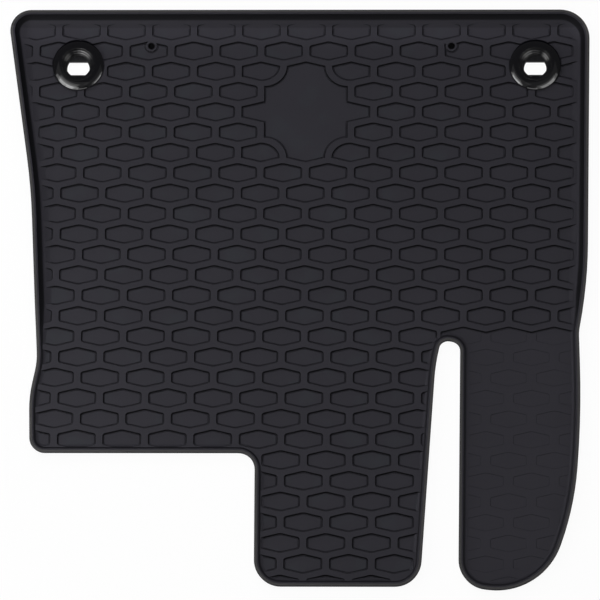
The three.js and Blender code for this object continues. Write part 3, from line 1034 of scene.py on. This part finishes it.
@dataclass
class MatMoulding:
    """The one-piece rubber mat: sheet, webs, rim, ring bosses and nubs, in millimetres.

    A section is a row of insets and heights from the top down. The heights of a moat are over its own
    foot, and those of a boss's round are below its top.
    """

    heights: Heights = field(default_factory=Heights)
    outline: Outline = field(default_factory=Outline)
    pattern: PocketPattern = field(default_factory=PocketPattern)
    low_rim: RimSection = field(default_factory=lambda: RimSection(0.6, 10.5, 3.0, 2.1, 3.3, 1.9))
    tall_rim: RimSection = field(default_factory=lambda: RimSection(1.5, 16.5, 3.4, 4.2, 9.1, 3.7))
    rim_cover: float = 9.1
    slab_inset: float = 2.1
    edge_ease: float = 0.3
    pocket_mouth: float = 0.2
    moat_section: tuple[Pair, ...] = ((0.65, 0.3), (0.8, 0.0), (1.25, 0.0))
    moat_width: float = 1.95
    moat_depth: float = 0.6
    faint_section: tuple[Pair, ...] = ((1.25, 0.2), (1.35, 0.0))
    faint_width: float = 1.75
    boss_places: tuple[Pair, ...] = ((-150.9, 262.6), (154.4, 262.6))
    boss_radius: float = 5.8
    boss_hole: float = 3.4
    boss_hole_depth: float = 4.3
    boss_round: tuple[Pair, ...] = ((0.0, 0.5), (0.2, 0.15), (0.6, 0.0))
    boss_steps: int = 28
    boss_moat_width: float = 1.3
    boss_moat_turn: Pair = (-199.0, 19.0)
    boss_moat_steps: int = 24
    hole_ease: float = 0.4
    eyelet_places: tuple[Pair, ...] = ((-225.3, 242.5), (239.4, 242.5))
    eyelet_seat: float = 23.0
    eyelet_bore: float = 16.7
    eyelet_steps: int = 64
    flange_groove_reach: Pair = (25.3, 26.7)
    flange_groove_depth: float = 0.8
    flange_groove_steps: int = 96
    nub_base: float = 3.4
    nub_tip: float = 1.9
    nub_ease: float = 0.3
    nub_flare: float = 0.4
    nub_margin: float = 11.0
    nub_keep_off: float = 30.4
    nub_row_step: int = 3
    nub_sides: int = 8
    sharpest: float = 40.0

    def rim(self) -> bpy.types.Object:
        """Builds the rim, its section blended between low and tall.

        Returns:
            A closed hoop.
        """
        low = self.low_rim.points(self.heights)
        tall = self.tall_rim.points(self.heights)

        def blended(a: float, b: float) -> Callable[[float], float]:
            """Runs from a where the rim is low to b where it is tall."""
            return lambda share: a + (b - a) * share

        rings = [
            self.outline.ring(blended(near[0], far[0]), blended(near[1], far[1]))
            for near, far in zip(low, tall)
        ]
        return loft("rim", rings, looped=True)

    def slab(self) -> bpy.types.Object:
        """Builds the sheet as thick as the webs, its edge hidden in the rim.

        Returns:
            The sheet.
        """
        rings = [
            self.outline.ring(lambda _: self.slab_inset, lambda _, z=z: z)
            for z in (self.heights.under, self.heights.web)
        ]
        return loft("mat_moulding", rings)

    def sunk(
        self, name: str, points: Sequence[Pair], centre: Pair, floor_z: float
    ) -> bpy.types.Object:
        """A cutter with an eased edge, a drafted wall and a moat at its foot.

        Args:
            name: Name of the cutter.
            points: The outline at the top of the webs, round the centre.
            centre: Where it is cut.
            floor_z: Height of the floor inside the moat.

        Returns:
            The cutter.
        """
        web, above, ease = self.heights.web, self.heights.above, self.edge_ease
        foot = floor_z - self.moat_depth
        section = [(self.pocket_mouth - ease - (above - web), above), (self.pocket_mouth, web - ease)]
        section += [(inset, foot + rise) for inset, rise in self.moat_section]
        section += [(self.moat_width, floor_z)]
        placed = moved(points, centre)
        return loft(name, [at_level(drawn_in(placed, inset), z) for inset, z in section])

    def faint_cutter(self) -> bpy.types.Object:
        """A shallow cutter with soft sides for a faint pocket of the footrest panel.

        Returns:
            The cutter, round the origin.
        """
        corners = clipped(self.pattern.hexagon(), self.pattern.corner_reach)
        section = [(inset, self.heights.faint + rise) for inset, rise in self.faint_section]
        section += [(self.faint_width, self.heights.floor)]
        return loft("faint", [at_level(drawn_in(corners, inset), z) for inset, z in section][::-1])

    @staticmethod
    def copied(model: bpy.types.Object, places: Sequence[Pair]) -> list[bpy.types.Object]:
        """Copies a piece, each copy with its own mesh, and removes it.

        Args:
            model: The piece, round the origin.
            places: Where the copies go.

        Returns:
            The copies.
        """
        copies = []
        for x, y in places:
            copy = model.copy()
            copy.data = model.data.copy()
            copy.data.transform(Matrix.Translation((x * MM, y * MM, 0)))
            bpy.context.scene.collection.objects.link(copy)
            copies.append(copy)
        bpy.data.objects.remove(model)
        return copies

    def pockets(self) -> tuple[bpy.types.Object, bpy.types.Object]:
        """Builds the cutters of the pockets and panels.

        Returns:
            One cutter for pockets and panels, and one for the faint pockets.
        """
        pattern, floor_z = self.pattern, self.heights.floor
        whole, cut, faint = [], [], []
        for column, row, centre in pattern.places():
            if abs(column) + abs(row) <= pattern.panel_half:
                continue
            corners = moved(pattern.hexagon(), centre)
            if not any(self.outline.depth(x, y) > self.rim_cover for x, y in corners):
                continue
            if pattern.in_footrest(row, centre):
                faint.append(centre)
            elif abs(column) == abs(row) == pattern.panel_half:
                cut.append((column // 2, row // 2, centre))
            else:
                whole.append(centre)
        hexagon = clipped(pattern.hexagon(), pattern.corner_reach)
        cutters = self.copied(self.sunk("pocket", hexagon, (0, 0), floor_z), whole)
        for way_x, way_y, centre in cut:
            cutters.append(self.sunk("cut_pocket", pattern.cut_hexagon(way_x, way_y), centre, floor_z))
        cutters.append(self.sunk("panel", pattern.panel(), pattern.centre, floor_z))
        cutters.append(self.sunk("footrest", pattern.footrest(), (0, 0), self.heights.faint))
        log.info("pockets %d, cut pockets %d, faint pockets %d", len(whole), len(cut), len(faint))
        faint_cutters = self.copied(self.faint_cutter(), faint)
        return gather("pockets", cutters), gather("faint_pockets", faint_cutters)

    def boss(self, centre: Pair) -> bpy.types.Object:
        """A round boss that stands on the sheet.

        Args:
            centre: Where it stands.

        Returns:
            The boss.
        """
        top, root, radius = self.heights.web, self.heights.root, self.boss_radius
        shoulder = [(radius - inset, top - drop) for inset, drop in self.boss_round]
        return turn("boss", [(0, root), (radius, root), *shoulder, (0, top)], centre, self.boss_steps)

    def boss_moat(self, centre: Pair) -> bpy.types.Object:
        """The groove round a boss, cut before the boss is set in it.

        Args:
            centre: Where the boss stands.

        Returns:
            The cutter.
        """
        foot, above = self.heights.floor - self.moat_depth, self.heights.above
        wide = self.boss_radius + self.boss_moat_width
        profile = [(0.5, above), (0.5, foot), (wide - 0.3, foot)]
        profile += [(wide, foot + 0.3), (wide + 0.4, above)]
        first, last = (math.radians(angle) for angle in self.boss_moat_turn)
        rings = []
        for share in shares(self.boss_moat_steps):
            x, y = math.cos(first + (last - first) * share), math.sin(first + (last - first) * share)
            rings.append([(centre[0] + r * x, centre[1] + r * y, z) for r, z in profile])
        return loft("boss_moat", rings)

    def boss_drill(self, centre: Pair) -> bpy.types.Object:
        """The blind hole of a boss, its mouth eased.

        Args:
            centre: Where the boss stands.

        Returns:
            The cutter.
        """
        top, radius, ease = self.heights.web, self.boss_hole, self.hole_ease
        foot = top - self.boss_hole_depth
        profile = [(0, foot), (radius - ease, foot), (radius, foot + ease), (radius, top - ease)]
        profile += [(radius + ease, top), (radius + ease + 1, top + 1), (0, top + 1)]
        return turn("boss_hole", profile, centre, self.boss_steps)

    def flange_groove(self, centre: Pair) -> bpy.types.Object:
        """The groove in the rubber round an eyelet's flange.

        Args:
            centre: Where the eyelet is.

        Returns:
            The cutter.
        """
        web, inner, outer = self.heights.web, *self.flange_groove_reach
        foot = web - self.flange_groove_depth
        profile = [(inner, foot), (outer - 0.4, foot), (outer, web)]
        profile += [(outer + 0.3, web + 1), (inner, web + 1)]
        return turn("flange_groove", profile, centre, self.flange_groove_steps)

    def drum(self, radius: float, low: float, high: float, centre: Pair) -> bpy.types.Object:
        """A plain upright drum for joining or cutting.

        Args:
            radius: Its radius.
            low: Height of its foot.
            high: Height of its top.
            centre: Where it stands.

        Returns:
            The drum.
        """
        profile = [(0, low), (radius, low), (radius, high), (0, high)]
        return turn("drum", profile, centre, self.eyelet_steps)

    def nub(self) -> bpy.types.Object:
        """An anti-slip nub with flat sides, an eased tip and a flared root.

        Returns:
            The nub, round the origin.
        """
        under, tip, base = self.heights.under, self.nub_tip, self.nub_base
        profile = [(tip - self.nub_ease, 0.0), (tip, self.nub_ease)]
        profile += [(base - self.nub_flare, under - self.nub_flare), (base + 0.1, under + 0.2)]
        angles = [math.tau * share for share in shares(self.nub_sides)[:-1]]
        rings = [[(r * math.cos(a), r * math.sin(a), z) for a in angles] for r, z in profile]
        return loft("nub", rings)

    def nubs(self) -> bpy.types.Object:
        """All the nubs, under the pockets and clear of the edge and the eyelets.

        Returns:
            The nubs as one object.
        """
        kept = []
        for _, row, place in self.pattern.places():
            clear = all(math.dist(place, eyelet) > self.nub_keep_off for eyelet in self.eyelet_places)
            if row % self.nub_row_step == 0 and clear and self.outline.depth(*place) > self.nub_margin:
                kept.append(place)
        log.info("nubs %d", len(kept))
        return gather("nubs", self.copied(self.nub(), kept))

    def build(self) -> bpy.types.Object:
        """Builds the moulding.

        Returns:
            The finished mesh, without its material.
        """
        mat = self.slab()
        pockets, faint = self.pockets()
        combine(mat, pockets, Join.CUT)
        combine(mat, faint, Join.CUT)
        combine(mat, self.rim(), Join.ADD)
        for centre in self.boss_places:
            combine(mat, self.boss_moat(centre), Join.CUT)
            combine(mat, self.boss(centre), Join.ADD)
            combine(mat, self.boss_drill(centre), Join.CUT)
        level = self.heights
        for centre in self.eyelet_places:
            combine(mat, self.drum(self.eyelet_seat, level.root, level.web, centre), Join.ADD)
            combine(mat, self.drum(self.eyelet_bore, level.below, level.above, centre), Join.CUT)
            combine(mat, self.flange_groove(centre), Join.CUT)
        combine(mat, self.nubs(), Join.ADD)
        smooth(mat, self.sharpest)
        self.note_depths(mat)
        return mat

    def note_depths(self, mat: bpy.types.Object) -> None:
        """Keeps each vertex's distance from the edge, in metres, for the painted highlight on the
        rim's crest.

        Args:
            mat: The finished moulding.
        """
        spot = mat.data.attributes.new("rim_depth", "FLOAT", "POINT")
        seen: dict[Pair, float] = {}
        for index, vertex in enumerate(mat.data.vertices):
            key = (round(vertex.co.x, 5), round(vertex.co.y, 5))
            if key not in seen:
                seen[key] = max(0.0, self.outline.depth(key[0] / MM, key[1] / MM)) * MM
            spot.data[index].value = seen[key]

    def dress(self, mat: bpy.types.Object, rubber: bpy.types.Material) -> None:
        """Gives the mat its rubber and its place in the table.

        Args:
            mat: The finished moulding.
            rubber: Its material.
        """
        mat.data.materials.clear()
        mat.data.materials.append(rubber)
        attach(mat, "root")
        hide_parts("mat_body")


@dataclass
class EyeletTop:
    """The upper half of an eyelet: domed flange, stepped bore, slotted floor and barrel.

    In millimetres. A shelf in the bore has an outer radius, a height and the run of its slope.
    """

    side: Side
    centre: Pair
    seat_z: float = 8.0
    crest_z: float = 12.4
    foot_z: float = 0.4
    ledge_z: float = 3.4
    flange: float = 25.9
    edge: float = 0.95
    edge_slope: float = 40.0
    crest: float = 17.0
    bore_rim: float = 16.5
    bore_drop: float = 0.9
    shelves: tuple[Place, ...] = ((15.4, 10.2, 1.0), (13.5, 8.2, 0.9))
    shelf_slope: float = 34.0
    shelf_ease: float = 0.06
    shelf_lip: Pair = (0.07, 0.12)
    wall_foot: float = 12.2
    barrel: float = 16.4
    lip: float = 0.8
    lip_height: float = 0.9
    slot_radius: float = 11.3
    slot_width: float = 13.3
    slot_shift: float = 2.5
    slot_steps: int = 12
    dome_steps: int = 12
    rim_steps: int = 10
    steps: int = 96
    sharpest: float = 50.0

    def dome(self) -> list[Pair]:
        """The dome of the flange, from its edge up to its crest.

        Returns:
            Radii and heights.
        """
        leans = [math.radians(self.edge_slope) * (1 - share) for share in shares(self.dome_steps)]
        bend = (self.flange - 0.2 - self.crest) / math.sin(leans[0])
        return [
            (self.crest + bend * math.sin(a), self.crest_z - bend * (1 - math.cos(a))) for a in leans
        ]

    def mouth(self) -> list[Pair]:
        """The round from the crest into the bore.

        Returns:
            Radii and heights.
        """
        width = self.crest - self.bore_rim
        quarter = [math.pi / 2 * share for share in shares(self.rim_steps)]
        return [
            (self.crest - width * math.sin(a), self.crest_z - self.bore_drop * (1 - math.cos(a)))
            for a in quarter[1:]
        ]

    def steps_in_bore(self) -> list[Pair]:
        """The bore from wall to shelf to wall, going down.

        Returns:
            Radii and heights.
        """
        found = []
        wall, ease = self.bore_rim, self.shelf_ease
        fall = math.tan(math.radians(self.shelf_slope))
        for radius, z, run in self.shelves:
            end = z - run * fall
            found += [(wall, z + ease), (wall - ease, z), (radius, z)]
            found += [(radius - 0.5 * run, z - 0.47 * run * fall), (radius - run, end)]
            wall = radius - run - self.shelf_lip[0]
            found += [(wall, end - self.shelf_lip[1])]
        return found

    def profile(self) -> list[Pair]:
        """The section, from the axis out under the flange, over the dome and in.

        Returns:
            Radii and heights.
        """
        edge_z = self.seat_z + self.edge
        lip_z = self.foot_z + self.lip_height
        return [
            (0, self.foot_z),
            (self.barrel - 0.3, self.foot_z),
            (self.barrel, self.foot_z + 0.2),
            (self.barrel + self.lip, lip_z - 0.1),
            (self.barrel + self.lip - 0.1, lip_z),
            (self.barrel, lip_z),
            (self.barrel, self.seat_z),
            (self.flange - 0.25, self.seat_z),
            (self.flange, self.seat_z + 0.25),
            (self.flange, edge_z),
            (self.flange - 0.06, edge_z + 0.18),
            *self.dome(),
            *self.mouth(),
            *self.steps_in_bore(),
            (self.wall_foot, self.ledge_z + 0.6),
            (self.wall_foot - 0.15, self.ledge_z + 0.15),
            (self.wall_foot - 0.5, self.ledge_z),
            (0, self.ledge_z),
        ]

    def slot(self) -> bpy.types.Object:
        """The slot's cutter: two round ends between straight ledges, its upper edge eased.

        Returns:
            The cutter.
        """
        reach = math.asin(self.slot_width / 2 / self.slot_radius)
        turns = [reach * (2 * share - 1) for share in shares(self.slot_steps)]
        angles = [*turns, *(math.pi + a for a in turns)]
        ends = [(self.slot_radius * math.cos(a), self.slot_radius * math.sin(a)) for a in angles]
        placed = moved(ends, (self.centre[0], self.centre[1] - self.slot_shift))
        levels = [(-0.4, self.foot_z - 0.4), (0.0, self.foot_z), (0.0, self.ledge_z - 0.35)]
        levels += [(-0.15, self.ledge_z - 0.1), (-0.35, self.ledge_z), (-0.6, self.ledge_z + 0.2)]
        return loft("slot", [at_level(drawn_in(placed, inset), z) for inset, z in levels])

    def build(self) -> bpy.types.Object:
        """Builds the eyelet.

        Returns:
            The finished mesh, without its material.
        """
        piece = turn(f"eyelet_top_{self.side.value}", self.profile(), self.centre, self.steps)
        combine(piece, self.slot(), Join.CUT)
        smooth(piece, self.sharpest)
        return piece

    def dress(self, piece: bpy.types.Object, plastic: bpy.types.Material) -> None:
        """Gives the eyelet its plastic and its place in the table.

        Args:
            piece: The finished eyelet.
            plastic: Its material.
        """
        piece.data.materials.clear()
        piece.data.materials.append(plastic)
        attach(piece, "root")
        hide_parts(f"eyelet_{self.side.value}")


@dataclass
class ClampRing:
    """The lower half of an eyelet, clamped under the sheet, in millimetres."""

    side: Side
    centre: Pair
    bore: float = 16.7
    rim: float = 24.0
    low_z: float = 1.6
    high_z: float = 3.5
    groove: tuple[float, float, float, float] = (19.6, 19.9, 20.9, 21.2)
    groove_depth: float = 0.4
    steps: int = 96
    sharpest: float = 40.0

    def profile(self) -> list[Pair]:
        """The section, with a shallow groove on the underside.

        Returns:
            Radii and heights.
        """
        low, high, deep = self.low_z, self.high_z, self.low_z + self.groove_depth
        out, wall, far_wall, far_out = self.groove
        return [
            (self.bore, high - 0.2),
            (self.bore, low + 0.3),
            (self.bore + 0.3, low),
            (out, low),
            (wall, deep),
            (far_wall, deep),
            (far_out, low),
            (self.rim - 0.7, low),
            (self.rim - 0.2, low + 0.2),
            (self.rim, low + 0.7),
            (self.rim, high - 0.2),
            (self.rim - 0.2, high),
            (self.bore + 0.2, high),
        ]

    def build(self) -> bpy.types.Object:
        """Builds the ring.

        Returns:
            The finished mesh, without its material.
        """
        piece = turn(f"clamp_ring_{self.side.value}", self.profile(), self.centre, self.steps)
        smooth(piece, self.sharpest)
        return piece

    def dress(self, piece: bpy.types.Object, plastic: bpy.types.Material) -> None:
        """Gives the ring its plastic and its place in the table.

        Args:
            piece: The finished ring.
            plastic: Its material.
        """
        piece.data.materials.clear()
        piece.data.materials.append(plastic)
        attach(piece, "root")
        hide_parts(f"lock_ring_{self.side.value}")


@dataclass(frozen=True)
class Softbox:
    """A rectangular studio light, in metres."""

    name: str
    place: Place
    size: Pair
    power: float
    shine: Shine = Shine.LIGHT
    aim: Place = (0.0, 0.0, 0.0)

    def build(self) -> None:
        """Adds the light, turned to what it is aimed at."""
        light = bpy.data.lights.new(self.name, "AREA")
        light.shape = "RECTANGLE"
        light.size, light.size_y = self.size
        light.energy = self.power
        lamp = bpy.data.objects.new(self.name, light)
        lamp.location = self.place
        lamp.visible_glossy = self.shine is Shine.IMAGE
        lamp.visible_diffuse = self.shine is Shine.LIGHT
        lamp.rotation_mode = "QUATERNION"
        lamp.rotation_quaternion = (Vector(self.aim) - Vector(self.place)).to_track_quat("-Z", "Y")
        bpy.context.scene.collection.objects.link(lamp)


@dataclass(frozen=True)
class FlangeGlow:
    """A lamp that shows only in the polished plastic, placed from each eyelet, in metres."""

    name: str
    offset: Place
    size: Pair
    left_power: float
    right_power: float

    def softbox(self, side: Side, eyelet: Place) -> Softbox:
        """Places the lamp for one eyelet.

        Args:
            side: The eyelet's side. The lamp stands out to that side.
            eyelet: The middle of its flange.

        Returns:
            The softbox.
        """
        x, y, z = self.offset
        left = side is Side.LEFT
        place = (eyelet[0] + (-x if left else x), eyelet[1] + y, eyelet[2] + z)
        power = self.left_power if left else self.right_power
        return Softbox(f"{side.value}_{self.name}", place, self.size, power, Shine.IMAGE, eyelet)


@dataclass
class Studio:
    """Floor, lights and camera, in metres and degrees.

    Only the sensor, the scale, which is a pixel's width at the mat, and the place looked at are in
    millimetres.
    """

    floor_half: float = 6.0
    floor_cuts: int = 3
    tilt: float = 12.0
    swing: float = 8.65
    roll: float = 0.39
    distance: float = 7.872
    scale: float = 1.01
    looked_at: Place = (2.091, -1.459, 8.0)
    sensor: float = 36.0
    pixels: int = 600
    clip: Pair = (0.1, 100.0)
    sky: float = 0.13
    sky_colour: Colour = (0.97, 0.98, 1.0)
    softboxes: tuple[Softbox, ...] = (
        Softbox("ceiling", (0.0, 0.0, 2.0), (4.0, 4.0), 7.5),
        Softbox("top", (0.0, 0.0, 1.5), (0.8, 0.8), 2.8),
        Softbox("back", (0.0, 0.8, 1.1), (0.8, 0.8), 2.8),
        Softbox("back_left", (-0.8, 0.9, 0.9), (0.8, 0.8), 4.0),
        Softbox("front_left", (-0.95, -0.5, 0.75), (0.8, 0.8), 2.7),
    )
    flange_glows: tuple[FlangeGlow, ...] = (
        FlangeGlow("core", (0.393, -0.437, 0.381), (0.5, 0.28), 1.79, 1.1),
        FlangeGlow("glow", (0.369, -0.41, 0.431), (0.62, 0.5), 1.52, 0.7),
        FlangeGlow("halo", (0.301, -0.335, 0.536), (1.1, 1.0), 0.9, 0.5),
        FlangeGlow("wing", (0.519, -0.276, 0.381), (0.4, 0.28), 0.69, 0.5),
        FlangeGlow("tail", (0.22, -0.545, 0.381), (0.4, 0.28), 1.11, 0.28),
        FlangeGlow("high", (0.269, -0.299, 0.573), (0.5, 0.4), 0.75, 0.0),
    )
    front_image: Softbox = Softbox("front_image", (0.0, -1.3, 0.7), (0.8, 0.5), 2.6, Shine.IMAGE)
    eyelets: tuple[tuple[Side, Place], ...] = (
        (Side.LEFT, (-0.225, 0.243, 0.012)),
        (Side.RIGHT, (0.239, 0.243, 0.012)),
    )

    def floor(self) -> None:
        """Adds the paper that the mat lies on."""
        bpy.ops.object.select_all(action="DESELECT")
        bpy.ops.mesh.primitive_plane_add(size=2 * self.floor_half)
        paper = bpy.context.object
        paper.name = "studio_floor"
        bpy.ops.object.mode_set(mode="EDIT")
        bpy.ops.mesh.subdivide(number_cuts=self.floor_cuts)
        bpy.ops.object.mode_set(mode="OBJECT")
        paper.data.materials.append(FloorFinish().material())

    def camera(self) -> None:
        """Adds the camera at the photograph's place."""
        tilt, swing, roll = (math.radians(a) for a in (self.tilt, self.swing, self.roll))
        lean = math.sin(tilt)
        back = Vector((lean * math.sin(swing), -lean * math.cos(swing), math.cos(tilt)))
        level = Vector((0, 1, 0)).cross(back).normalized()
        upright = back.cross(level)
        right = math.cos(roll) * level + math.sin(roll) * upright
        up = math.cos(roll) * upright - math.sin(roll) * level
        data = bpy.data.cameras.new("photo_camera")
        data.sensor_width = self.sensor
        data.lens = self.sensor * (self.distance / (self.scale * MM)) / self.pixels
        data.clip_start, data.clip_end = self.clip
        seen = bpy.data.objects.new("photo_camera", data)
        turned = Matrix((right, up, back)).transposed().to_4x4()
        place = Vector(self.looked_at) * MM + back * self.distance
        seen.matrix_world = Matrix.Translation(place) @ turned
        bpy.context.scene.collection.objects.link(seen)
        bpy.context.scene.camera = seen

    def world(self) -> None:
        """Lights the room with a plain pale sky."""
        world = bpy.data.worlds.new("room")
        bpy.context.scene.world = world
        world.use_nodes = True
        sky = world.node_tree.nodes["Background"]
        sky.inputs["Color"].default_value = (*self.sky_colour, 1.0)
        sky.inputs["Strength"].default_value = self.sky

    def build(self) -> None:
        """Builds the whole studio."""
        self.floor()
        self.world()
        glows = [
            glow.softbox(side, eyelet) for side, eyelet in self.eyelets for glow in self.flange_glows
        ]
        for softbox in (*self.softboxes, *glows, self.front_image):
            if softbox.power > 0:
                softbox.build()
        self.camera()
        bpy.context.scene.view_settings.view_transform = "Standard"


def main() -> None:
    """Builds every piece in order and reports it."""
    logging.basicConfig(level=logging.INFO, format="%(name)s: %(message)s")
    Studio().build()
    moulding = MatMoulding()
    mat = moulding.build()
    moulding.dress(mat, RubberFinish().material())
    pieces = [mat]
    gloss, dull = GlossFinish().material(), DullFinish().material()
    for side, centre in zip(Side, moulding.eyelet_places):
        for part, plastic in ((EyeletTop(side, centre), gloss), (ClampRing(side, centre), dull)):
            piece = part.build()
            part.dress(piece, plastic)
            pieces.append(piece)
    for piece in pieces:
        triangles = sum(len(face.vertices) - 2 for face in piece.data.polygons)
        log.info("%s: %d triangles", piece.name, triangles)


if __name__ == "__main__":
    main()
